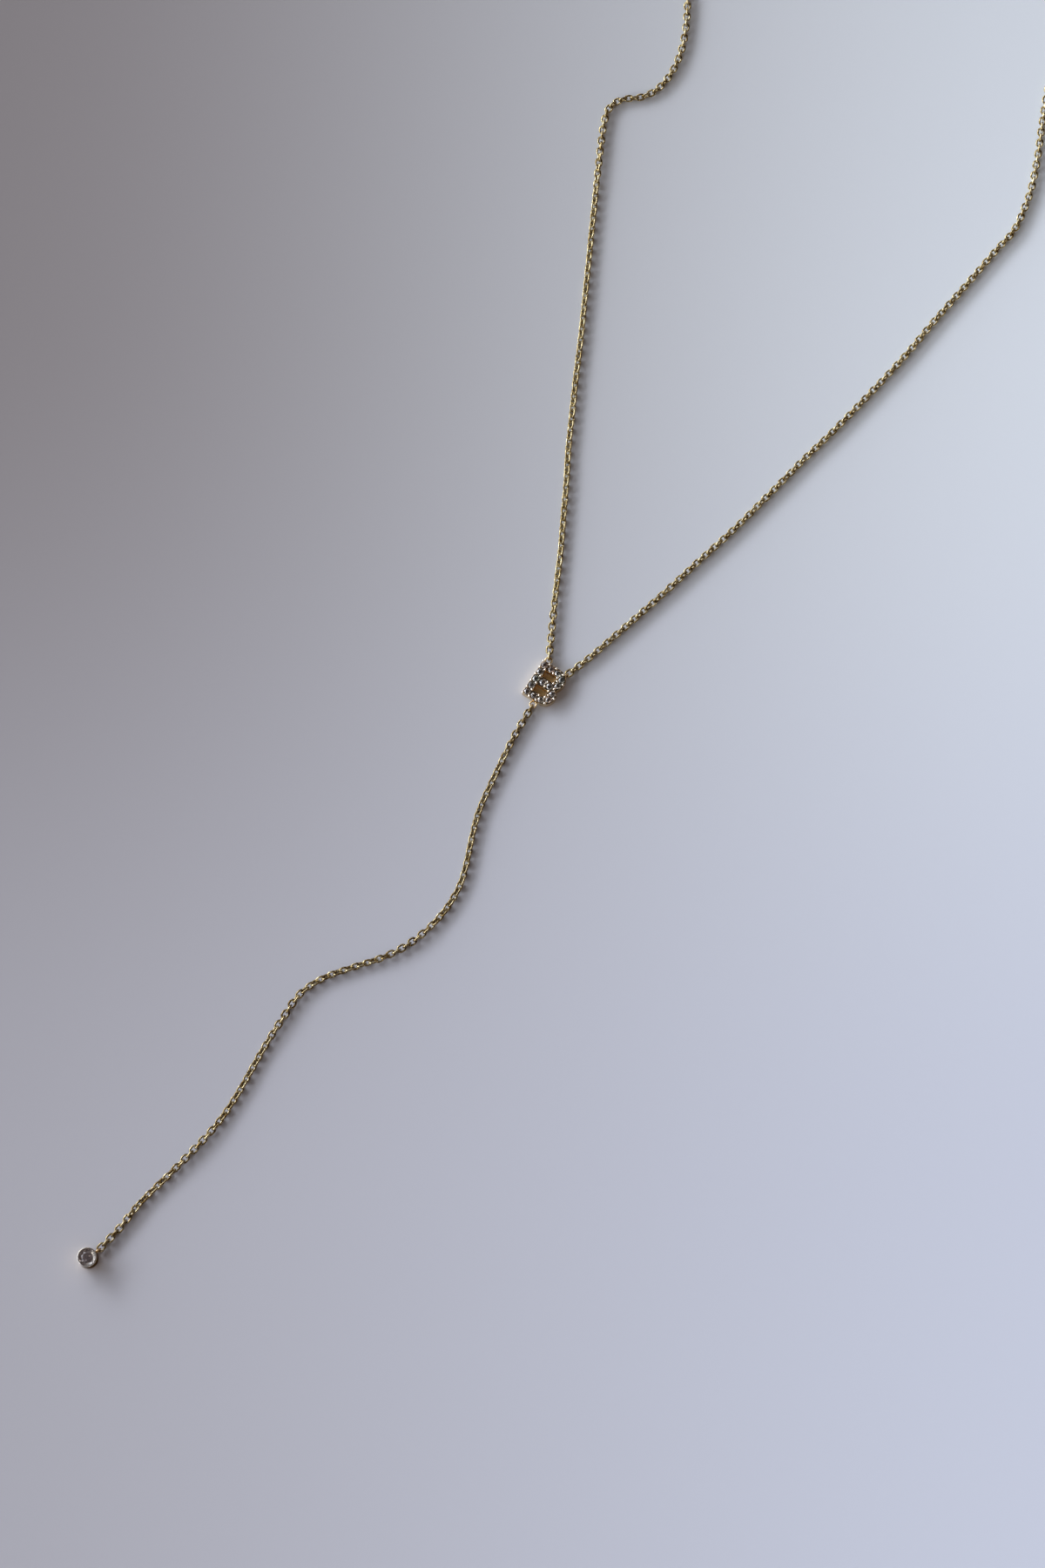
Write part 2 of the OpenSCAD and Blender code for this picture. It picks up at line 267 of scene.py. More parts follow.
chainLook = {
    "paleColor": (0.72, 0.62, 0.36, 1),
    "warmColor": (0.24, 0.16, 0.05, 1),
    "rough": (0.06, 0.20),
    "patchScale": 1800.0,
    "markScale": 9000.0,
}
# the drop chain gets a darker copy of the chain gold: painted shade
dropShadeLook = {
    "paleColor": (0.58, 0.49, 0.285, 1),
    "warmColor": (0.17, 0.105, 0.03, 1),
    "rough": (0.06, 0.20),
    "patchScale": 1800.0,
    "markScale": 9000.0,
}
letterLook = {
    "paleColor": (0.92, 0.75, 0.45, 1),
    "warmColor": (0.62, 0.42, 0.20, 1),
    "rough": (0.08, 0.24),
    "patchScale": 700.0,
    "markScale": 12000.0,
}
# the grain prongs get a near-white copy of the gold: a painted highlight, so they read as bright glints
grainHighlightLook = {
    "paleColor": (0.98, 0.93, 0.84, 1),
    "warmColor": (0.90, 0.79, 0.62, 1),
    "rough": (0.05, 0.18),
    "patchScale": 1500.0,
    "markScale": 12000.0,
}
# the walls of the two holes get a deeper orange gold: painted shade that browns the holes; they are also
# rougher
holeShadeLook = {
    "paleColor": (0.98, 0.68, 0.25, 1),
    "warmColor": (0.84, 0.51, 0.15, 1),
    "rough": (0.12, 0.30),
    "patchScale": 900.0,
    "markScale": 10000.0,
}
cupLook = {
    "paleColor": (0.96, 0.93, 0.87, 1),
    "warmColor": (0.84, 0.77, 0.65, 1),
    "rough": (0.08, 0.22),
    "patchScale": 500.0,
    "markScale": 10000.0,
}
# the cup's outer wall: gold with a dark brown grazing tint, painted shade for the dark crescent beside the
# cup
shadedWallLook = {
    "paleColor": (0.84, 0.66, 0.38, 1),
    "warmColor": (0.66, 0.46, 0.22, 1),
    "paintedShadeTint": (0.13, 0.08, 0.055, 1),
    "rough": (0.10, 0.24),
    "patchScale": 500.0,
    "markScale": 10000.0,
}
metalSet = {
    "patchDetail": 3.0,
    "patchEdges": (0.36, 0.64),
    "markTurn": (0.2, 0.4, 0.9),
    "markStretch": (1.0, 6.0, 1.0),
    "markDetail": 5.0,
    "markRoughness": 0.65,
    "glossEdges": (0.3, 0.7),
    "reliefDepth": 0.002 * mm,
    "reliefStrength": 0.6,
}


def goldMaterial(name, look, s):
    material, tree, shader, place = newMaterial(name)
    shader["Metallic"].default_value = 1.0
    # a look may carry a dark grazing tint, which paints shade
    if "paintedShadeTint" in look:
        shader["Specular Tint"].default_value = look["paintedShadeTint"]
    share = patchShare(tree, place, look["patchScale"], s["patchDetail"], s["patchEdges"])
    feed(tree, mixColor(tree, share, look["paleColor"], look["warmColor"]), shader["Base Color"])
    # polishing marks: fine noise drawn out along one way, for gloss and a very shallow bump
    drawn = addNode(tree, "ShaderNodeMapping", {0: place, 2: s["markTurn"], 3: s["markStretch"]}).outputs[0]
    marks = addNode(tree, "ShaderNodeTexNoise",
                    {"Vector": drawn, "Scale": look["markScale"], "Detail": s["markDetail"],
                     "Roughness": s["markRoughness"]}).outputs[0]
    feed(tree, mapRange(tree, marks, s["glossEdges"], look["rough"]), shader["Roughness"])
    relief = addNode(tree, "ShaderNodeBump", {"Height": marks, "Distance": s["reliefDepth"],
                                              "Strength": s["reliefStrength"]}).outputs[0]
    feed(tree, relief, shader["Normal"])
    return material


letterStoneLook = {
    "coolColor": (0.48, 0.52, 0.43, 1),
    "warmColor": (0.84, 0.63, 0.50, 1),
    "clear": 1.0,
}
dropStoneLook = {
    "coolColor": (0.66, 0.60, 0.66, 1),
    "warmColor": (0.90, 0.71, 0.67, 1),
    "clear": 0.94,
}
stoneSet = {
    "patchScale": 650.0,
    "patchDetail": 2.0,
    "patchEdges": (0.35, 0.65),
    "ior": 2.15,
    "roughness": 0.015,
}


def stoneMaterial(name, look, s):
    material, tree, shader, place = newMaterial(name)
    shader["Transmission Weight"].default_value = look["clear"]
    shader["IOR"].default_value = s["ior"]
    shader["Roughness"].default_value = s["roughness"]
    share = patchShare(tree, place, s["patchScale"], s["patchDetail"], s["patchEdges"])
    feed(tree, mixColor(tree, share, look["coolColor"], look["warmColor"]), shader["Base Color"])
    return material


chainGold = goldMaterial("chainGold", chainLook, metalSet)
dropShadeGold = goldMaterial("dropShadeGold", dropShadeLook, metalSet)
letterGold = goldMaterial("letterGold", letterLook, metalSet)
grainHighlightGold = goldMaterial("grainHighlightGold", grainHighlightLook, metalSet)
holeShadeGold = goldMaterial("holeShadeGold", holeShadeLook, metalSet)
cupGold = goldMaterial("cupGold", cupLook, metalSet)
shadedWallGold = goldMaterial("shadedWallGold", shadedWallLook, metalSet)
clearStone = stoneMaterial("clearStone", letterStoneLook, stoneSet)
dropClear = stoneMaterial("dropClear", dropStoneLook, stoneSet)
print("stage: materials ready")


# camera, as the photograph looks down on the letter and the drop

cameraSet = {
    "aim": (-3.05, -12.99),
    "height": 435.0,
    "elevation": 76.0,
    "lens": 80.0,
    "sensor": 36.0,
    "clip": (0.02, 20.0),
}


def makeCamera(s):
    data = bpy.data.cameras.new("camera")
    data.lens = s["lens"]
    data.sensor_width = s["sensor"]
    data.clip_start, data.clip_end = s["clip"]
    camera = addObject("camera", data)
    back = s["height"] / math.tan(math.radians(s["elevation"]))
    camera.location = (s["aim"][0] * mm, (s["aim"][1] - back) * mm, s["height"] * mm)
    camera.rotation_euler = (math.radians(90 - s["elevation"]), 0, 0)
    bpy.context.scene.camera = camera


makeCamera(cameraSet)


# the small soldered rings on the letter, the cup and the clasp, where the chains end

ringSet = {
    "outer": 1.05,
    "wire": 0.23,
    "solder": 0.1,
    "lift": 0.5,
    "around": 40,
    "across": 12,
}
standing = Matrix.Rotation(math.pi / 2, 4, "X")  # turns a flat ring up on its edge


# the letter: a cast body with two holes, stone seats, grain prongs and three soldered rings

letterSet = {
    "height": 5.2,
    "bowlRadius": 1.5,
    "bowlX": 2.6,
    "bowlSteps": 28,
    "thickness": 1.15,
    "turn": -32.5,
    "middleX": 2.05,
    "holeStart": 1.04,
    "holeEnd": 2.75,
    "holeHeight": 0.94,
    "holeCorner": 0.3,
    "cornerSteps": 8,
    "edgeRound": 0.03,
    "edgeSteps": 3,
    "sharpAngle": 32,
    "stoneSize": 0.88,
    "stoneInset": 0.52,
    "bowlStones": (30, -30),
    "girdleSink": 0.02,
    "seatGap": 0.02,
    "seatDrop": 0.04,  # this and the next are shares of the stone's size
    "seatDepth": 0.46,
    "seatRise": 0.5,
    "seatSides": 32,
    "grainRadius": 0.18,
    "grainSink": 0.15,
    "grainRounds": 3,
    "cornerGrain": 0.1,
    "notchGrain": 3.3,
    "footRingX": 2.0,
    "eyeTurn": 56.0,
    "eyeOut": 0.13,
    "eyeLean": 39.5,
}
leftRing = (letterSet["stoneInset"], letterSet["height"] + ringSet["outer"] / 2 - ringSet["solder"])
footRing = (letterSet["footRingX"], ringSet["solder"] - ringSet["outer"] / 2)
rightEye = besidePoint((letterSet["bowlX"], letterSet["height"] - letterSet["bowlRadius"]),
                       letterSet["bowlRadius"] + letterSet["eyeOut"], letterSet["eyeTurn"])


def laidPoint(x, y):
    # from the letter's own frame to the surface
    return turnedPoint(x - letterSet["middleX"], y - letterSet["height"] / 2, letterSet["turn"])


def letterOutlines(s):
    low, high = s["bowlRadius"], s["height"] - s["bowlRadius"]
    notch = math.degrees(math.asin((high - low) / 2 / s["bowlRadius"]))
    outer = [(0, 0)] + arcPoints((s["bowlX"], low), s["bowlRadius"], -90, notch, s["bowlSteps"])
    outer += arcPoints((s["bowlX"], high), s["bowlRadius"], -notch, 90, s["bowlSteps"])[1:]
    shapes = [outer + [(0, s["height"])]]
    flat = s["holeHeight"] / 2 - s["holeCorner"]
    inner = s["holeEnd"] - s["holeCorner"]
    for y in (low, high):
        hole = [(s["holeStart"], y + s["holeHeight"] / 2), (s["holeStart"], y - s["holeHeight"] / 2)]
        hole += arcPoints((inner, y - flat), s["holeCorner"], -90, 0, s["cornerSteps"])
        hole += arcPoints((inner, y + flat), s["holeCorner"], 0, 90, s["cornerSteps"])
        shapes.append(hole)
    return shapes


def stoneCenters(s):
    # five up the stem, two on each of the three bars from the top, and two on each bowl
    step = (s["height"] - 2 * s["stoneInset"]) / 4
    rows = [s["stoneInset"] + k * step for k in range(5)]
    between = (s["stoneInset"] + s["bowlX"]) / 2
    spots = [(s["stoneInset"], y) for y in rows]
    spots += [(x, rows[k]) for k in (4, 2, 0) for x in (between, s["bowlX"])]
    for y in (s["height"] - s["bowlRadius"], s["bowlRadius"]):
        spots += [besidePoint((s["bowlX"], y), s["bowlRadius"] - s["stoneInset"], a) for a in s["bowlStones"]]
    return spots


# grain prongs beside the line from one stone to the next: stone, next stone, what is on the left and
# on the right, as stoneCenters counts the stones
grainTable = [
    (0, 1, "edge", "hole"), (1, 2, "edge", "hole"), (2, 3, "edge", "hole"), (3, 4, "edge", "hole"),
    (4, 5, "edge", None), (5, 6, "edge", "hole"), (7, 8, "hole", "hole"), (0, 9, None, "edge"),
    (9, 10, "hole", "edge"), (6, 11, "round", "hole"), (11, 12, "round", "hole"), (12, 8, None, "hole"),
    (8, 13, None, "hole"), (13, 14, "round", "hole"), (14, 10, "round", "hole")]
grainOffsets = {"edge": 0.4, "hole": 0.36, "round": 0.47}


def grainSpots(s, stones):
    corner = s["cornerGrain"]
    spots = [(corner, corner), (corner, s["height"] - corner), (s["notchGrain"], s["height"] / 2)]
    for first, second, left, right in grainTable:
        a, b = Vector(stones[first]), Vector(stones[second])
        side = Vector((a.y - b.y, b.x - a.x)) / (b - a).length
        for kind, sign in ((left, 1), (right, -1)):
            if kind:
                spots.append(tuple((a + b) / 2 + sign * grainOffsets[kind] * side))
    return spots


def grainTree(rounds):
    tree, given, result = newGeometryTree("grainRow", [("Grain Radius", "Float"), ("Metal", "Material")])
    ball = addNode(tree, "GeometryNodeMeshIcoSphere",
                   {"Radius": given.outputs["Grain Radius"], "Subdivisions": rounds}).outputs[0]
    spots = addNode(tree, "GeometryNodeMeshToPoints", {0: given.outputs["Geometry"]}).outputs[0]
    row = addNode(tree, "GeometryNodeInstanceOnPoints", {"Points": spots, "Instance": ball}).outputs[0]
    solid = addNode(tree, "GeometryNodeRealizeInstances", {0: row}).outputs[0]
    dressed = addNode(tree, "GeometryNodeSetMaterial",
                      {0: solid, "Material": given.outputs["Metal"]}).outputs[0]
    tree.links.new(dressed, result.inputs[0])
    return tree


def inHole(s, spot):
    # true on the walls of the two holes
    rows = (s["bowlRadius"], s["height"] - s["bowlRadius"])
    near = 0.005
    return (s["holeStart"] - near < spot.x < s["holeEnd"] + near
            and any(abs(spot.y - y) < s["holeHeight"] / 2 + near for y in rows))


def seatMesh(s, girdle):
    # what is cut away for one stone
    radius = s["stoneSize"] / 2 + s["seatGap"]
    low = girdle - s["seatDrop"] * s["stoneSize"]
    tip = low - s["seatDepth"] * s["stoneSize"]
    profile = [(0, tip), (2 * s["seatGap"], tip), (radius, low), (radius, low + s["seatRise"]),
               (0, low + s["seatRise"])]
    return latheMesh("seat", profile, s["seatSides"])


def makeLetter(s):
    stones = stoneCenters(s)
    girdle = s["thickness"] - s["girdleSink"]
    seat = seatMesh(s, girdle)
    seats = joinMeshes("seats", [(seat, Matrix.Translation((x, y, 0))) for x, y in stones])
    body = cutMesh(outlineMesh(letterOutlines(s), s), seats)
    grainLevel = s["thickness"] + s["grainRadius"] - s["grainSink"]
    dots = meshFrom("dots", [(x, y, grainLevel) for x, y in grainSpots(s, stones)], [])
    grains = growMesh("grains", dots, grainTree(s["grainRounds"]),
                      {"Grain Radius": s["grainRadius"], "Metal": grainHighlightGold})
    # the grains take the painted-highlight gold
    markFaces(grains, 1, lambda spot: True)
    # the hole walls take the deeper gold that paints their shade
    markFaces(body, 2, lambda spot: inHole(s, spot))
    ring = ringMesh(ringSet)
    lean = Matrix.Rotation(math.radians(s["eyeLean"] - s["turn"]), 4, "Z")
    parts = [(body, Matrix()), (grains, Matrix())]
    parts += [(ring, Matrix.Translation((*spot, ringSet["lift"]))) for spot in (leftRing, footRing)]
    parts.append((ring, Matrix.Translation((*rightEye, ringSet["outer"] / 2)) @ lean @ standing))
    letter = joinMeshes("letterFrame", parts)
    letter.transform(Matrix.Scale(mm, 4) @ Matrix.Rotation(math.radians(s["turn"]), 4, "Z")
                     @ Matrix.Translation((-s["middleX"], -s["height"] / 2, 0)))
    finishPiece("letterFrame", letter, [letterGold, grainHighlightGold, holeShadeGold], ["letter_frame"],
                s["sharpAngle"])
    return stones, girdle


stoneSpots, stoneLevel = makeLetter(letterSet)


# the stones: a round brilliant with its girdle on z = 0, its parts as shares of its size

stoneCut = {
    "table": 0.55,
    "crown": 0.15,
    "girdle": 0.04,
    "pavilion": 0.42,
    "star": 0.77,
    "lower": 0.3,
    "sharpAngle": 1,
}


def brilliantMesh(size, s):
    r = size / 2
    girdleTop, girdleLow = s["girdle"] / 2 * size, -s["girdle"] / 2 * size
    tableZ = girdleTop + s["crown"] * size
    culetZ = girdleLow - s["pavilion"] * size
    tableR, starR, lowerR = s["table"] * r, s["star"] * r, s["lower"] * r
    halfEighth = math.pi / 8
    slope = (tableZ - girdleTop) / (r - tableR)
    starZ = tableZ - (starR * math.cos(halfEighth) - tableR) * slope
    lowerZ = culetZ + lowerR * math.cos(halfEighth) * (girdleLow - culetZ) / r
    points = circlePoints(tableR, tableZ, 8) + circlePoints(starR, starZ, 8, 0.5)
    points += circlePoints(r, girdleTop, 32) + circlePoints(r, girdleLow, 32)
    points += circlePoints(lowerR, lowerZ, 8, 0.5) + [(0, 0, culetZ)]
    # where each circle of points starts, after the eight of the table
    star, top, low, mid, culet = 8, 16, 48, 80, 88
    faces = [list(range(8))]
    for k in range(8):
        n, before = (k + 1) % 8, (k - 1) % 8
        g = [(4 * k + i) % 32 for i in range(5)]
        faces.append([k, star + k, n])
        faces.append([k, star + before, top + g[0], star + k])
        faces.append([star + k, top + g[0], top + g[1], top + g[2]])
        faces.append([star + k, top + g[2], top + g[3], top + g[4]])
        faces += [[top + g[i], low + g[i], low + g[i + 1], top + g[i + 1]] for i in range(4)]
        faces.append([low + g[2], low + g[1], low + g[0], mid + k])
        faces.append([low + g[4], low + g[3], low + g[2], mid + k])
        faces.append([culet, mid + k, low + g[0], mid + before])
    return turnOutwards(meshFrom("brilliant", points, faces))


def makeStone(name, size, spot, level, turn, lean, clear, replaced):
    # lean is a small tilt, as (degrees, direction)
    stone = brilliantMesh(size, stoneCut)
    tipped = Matrix.Rotation(math.radians(lean[1]), 4, "Z") @ Matrix.Rotation(math.radians(lean[0]), 4, "X")
    stone.transform(Matrix.Scale(mm, 4) @ Matrix.Translation((*spot, level)) @ tipped
                    @ Matrix.Rotation(math.radians(turn), 4, "Z"))
    finishPiece(name, stone, [clear], [replaced], stoneCut["sharpAngle"])


# the stones aren't set quite level
leanSet = {"seed": 7, "most": 6.0, "leastShare": 0.3, "turns": 45}
chance = random.Random(leanSet["seed"])
for number, spot in enumerate(stoneSpots, 1):
    lean = (chance.uniform(leanSet["leastShare"], 1) * leanSet["most"], chance.uniform(0, 360))
    makeStone(f"letterStone{number}", letterSet["stoneSize"], laidPoint(*spot), stoneLevel,
              chance.uniform(0, leanSet["turns"]), lean, clearStone, f"letter_stone_{number}")


# the drop's cup and stone; levels are shares of the cup's height

cupSet = {
    "center": (-57.0, -73.9),
    "outer": 2.5,
    "height": 2.3,
    "stoneSize": 2.1,
    "stoneLevel": 0.8,
    "stoneTurn": 12,
    "eyeTurn": 40.0,
    "eyeOut": 0.2,
    "backHole": 0.45,
    "backLevel": 0.3,
    "footIn": 0.12,
    "footLevel": 0.2,
    "rimIn": 0.06,
    "rimLevel": 0.84,
    "lipCover": 0.03,
    "seatLevel": 0.72,
    "grooveLevel": 0.88,
    "eases": {"foot": 0.04, "heel": 0.1, "shoulder": 0.2, "rim": 0.07, "lip": 0.04, "back": 0.03},
    "easeSteps": 6,
    # the band of outer wall that carries the painted shade, and the band under the rim that is left out of it
    "shadedWallBand": 0.14,
    "unshadedRimBand": 0.16,
    "sides": 72,
    "sharpAngle": 40,
}
cupReach = cupSet["outer"] / 2 + cupSet["eyeOut"]


def easedProfile(corners, steps):
    # corners are (radius, height, ease); each is rounded by a short curve
    made = []
    for i, (x, z, ease) in enumerate(corners):
        here = Vector((x, z))
        if not ease:
            made.append(here)
            continue
        before, after = Vector(corners[i - 1][:2]), Vector(corners[(i + 1) % len(corners)][:2])
        a = here + (before - here).normalized() * ease
        b = here + (after - here).normalized() * ease
        for k in range(steps + 1):
            t = k / steps
            made.append(a * (1 - t) ** 2 + here * 2 * t * (1 - t) + b * t ** 2)
    return [tuple(p) for p in made]


def makeCup(s):
    r, h, stoneR = s["outer"] / 2, s["height"], s["stoneSize"] / 2
    lip, groove, ease = stoneR - s["lipCover"], stoneR + s["lipCover"], s["eases"]
    corners = [(s["backHole"], 0, 0),
               (r - s["footIn"], 0, ease["foot"]),
               (r, s["footLevel"] * h, ease["heel"]),
               (r, s["rimLevel"] * h, ease["shoulder"]),
               (r - s["rimIn"], h, ease["rim"]),
               (lip, h, ease["lip"]),
               (lip, s["grooveLevel"] * h, 0),
               (groove, s["grooveLevel"] * h, 0),
               (groove, s["seatLevel"] * h, 0),
               (s["backHole"], s["backLevel"] * h, ease["back"])]
    wall = latheMesh("wall", easedProfile(corners, s["easeSteps"]), s["sides"], closed=True)
    # the outer wall below the rim takes the dark-tinted gold: painted shade
    markFaces(wall, 1, lambda spot: spot.xy.length > r - s["shadedWallBand"] and spot.z < h - s["unshadedRimBand"])
    ring = ringMesh(ringSet)
    markFaces(ring, 2, lambda spot: True)
    eye = (Matrix.Rotation(math.radians(s["eyeTurn"]), 4, "Z")
           @ Matrix.Translation((cupReach, 0, ringSet["outer"] / 2)) @ standing)
    cup = joinMeshes("dropCup", [(wall, Matrix()), (ring, eye)])
    cup.transform(Matrix.Scale(mm, 4) @ Matrix.Translation((*s["center"], 0)))
    finishPiece("dropCup", cup, [cupGold, shadedWallGold, letterGold], ["drop_cup"], s["sharpAngle"])
    makeStone("dropStone", s["stoneSize"], s["center"], s["stoneLevel"] * h, s["stoneTurn"], (0.0, 0.0),
              dropClear, "drop_stone")


makeCup(cupSet)


# the clasp, out of the photograph's view

claspSet = {
    "center": (60.2, 168.2),
    "turn": -6.0,
    "outer": 5.0,
    "wire": 1.0,
    "around": 64,
    "across": 20,
}
claspReach = (claspSet["outer"] + ringSet["outer"]) / 2 - ringSet["solder"]


def makeClasp(s):
    eye = ringMesh(ringSet)
    parts = [(ringMesh(s), Matrix.Translation((0, 0, s["wire"] / 2)))]
    parts += [(eye, Matrix.Translation((x, 0, ringSet["lift"]))) for x in (-claspReach, claspReach)]
    clasp = joinMeshes("claspRing", parts)
    clasp.transform(Matrix.Scale(mm, 4) @ Matrix.Translation((*s["center"], 0))
                    @ Matrix.Rotation(math.radians(s["turn"]), 4, "Z"))
    finishPiece("claspRing", clasp, [chainGold], ["clasp"])


makeClasp(claspSet)


# the chains: one tree lays interlocking oval links along a route

chainSet = {
    "linkLength": 1.40,
    "linkWidth": 1.05,
    "wire": 0.28,
    "wireSides": 6,
    "endCorners": 7,
    "endReach": 0.645,
    "curveSteps": 6,
    "wobble": 5.0,
}

# each route lies on the surface, from the letter outwards; rolls say how far the links have rolled over,
# as (distance from the letter, degrees)
leftChain = {
    "count": 237,
    "firstTurn": 1,
    "seed": 11,
    "rolls": [(0, 0), (4, 0), (10, 45), (64, 45), (74, 0), (100, 0)],
    "route": [(0.8, 8), (1.3, 12.8), (1.9, 17.9), (2.3, 22.7), (2.7, 27.5), (3, 32.4), (3.5, 37.2),
              (4, 42.1), (4.6, 47), (5.1, 51.9), (5.6, 56.9), (6.1, 61.9), (6.6, 66.9), (7.1, 71.9),
              (7.6, 76.4), (8, 79.1), (8.8, 81.1), (10.5, 82.2), (13.2, 82.6), (15.4, 83.9),
              (17.4, 86.6), (18.8, 90.6), (19.4, 96), (19.2, 103), (18.6, 110.5), (18.4, 118.5),
              (19.2, 126.5), (21.2, 134.5), (24.4, 142.4), (28.8, 149.8), (34.4, 156.2), (41, 161.4),
              (48.4, 165.2)],
}
rightChain = {
    "count": 254,
    "firstTurn": 0,
    "seed": 12,
    "rolls": [(0, 0), (6, -14), (80, -14), (95, 0), (210, 0)],
    "route": [(5.8, 3.9), (9.3, 7), (14.5, 11.7), (19.6, 16.5), (24.7, 21.3), (29.4, 26.1),
              (34, 30.9), (38.8, 35.7), (43.4, 40.6), (47.8, 45.5), (51.8, 50.4), (56.1, 55.4),
              (60.2, 60.3), (62.5, 62.9), (64, 65.8), (65.3, 69.4), (66.3, 73.9), (67.1, 78.8),
              (68.3, 85), (70.4, 92), (73.4, 99.2), (77, 106.6), (80.6, 114.6), (83.4, 123),
              (84.8, 131.6), (84.4, 140.2), (82, 148.4), (77.8, 155.6), (72, 161.6)],
}
dropChain = {
    "count": 116,
    "firstTurn": 1,
    "seed": 13,
    "rolls": [(0, 0), (3, 0), (9, 45), (31, 45), (36, 85), (41, 45), (49, 45), (54, 85), (59, 45),
              (70, 45), (75, 85), (80, 45), (83, 45), (88, 0), (93, 0)],
    "route": [(-3.8, -6.2), (-5.5, -9.6), (-7.1, -13.1), (-8.6, -16.6), (-9.5, -20), (-10.2, -23.5),
              (-11.2, -26.8), (-13.4, -30.3), (-16.7, -33.5), (-20.3, -35.6), (-24.7, -37.1),
              (-28.4, -38.5), (-31.2, -40.5), (-33.4, -43.7), (-35.5, -47.1), (-37.3, -50.4),
              (-39.2, -53.8), (-41.4, -57.1), (-44.3, -60.4), (-47.4, -63.6), (-50.7, -66.9),
              (-53.3, -70.2)],
}


def readTable(table, distance):
    for (d0, v0), (d1, v1) in zip(table, table[1:]):
        if distance <= d1:
            return v0 + (v1 - v0) * (distance - d0) / (d1 - d0)
    return table[-1][1]


def smoothRoute(points, steps):
    # a smooth curve through every point
    p = [Vector(q) for q in points]
    p = [2 * p[0] - p[1]] + p + [2 * p[-1] - p[-2]]
    made = []
    for a, b, c, d in zip(p, p[1:], p[2:], p[3:]):
        for k in range(steps):
            t = k / steps
            made.append(b + ((c - a) * t + (2 * a - 5 * b + 4 * c - d) * t ** 2
                             + (3 * b - a - 3 * c + d) * t ** 3) / 2)
    return made + [p[-2]]


def routeMesh(points, rolls):
    line = smoothRoute(points, chainSet["curveSteps"])
    lengths = [0.0]
    for a, b in zip(line, line[1:]):
        lengths.append(lengths[-1] + (b - a).length)
    edges = [(i, i + 1) for i in range(len(line) - 1)]
    mesh = bpy.data.meshes.new("route")
    mesh.from_pydata([(q.x * mm, q.y * mm, 0) for q in line], edges, [])
    roll = mesh.attributes.new("roll", "FLOAT", "POINT")
    roll.data.foreach_set("value", [math.radians(readTable(rolls, d)) for d in lengths])
    return mesh, lengths[-1]


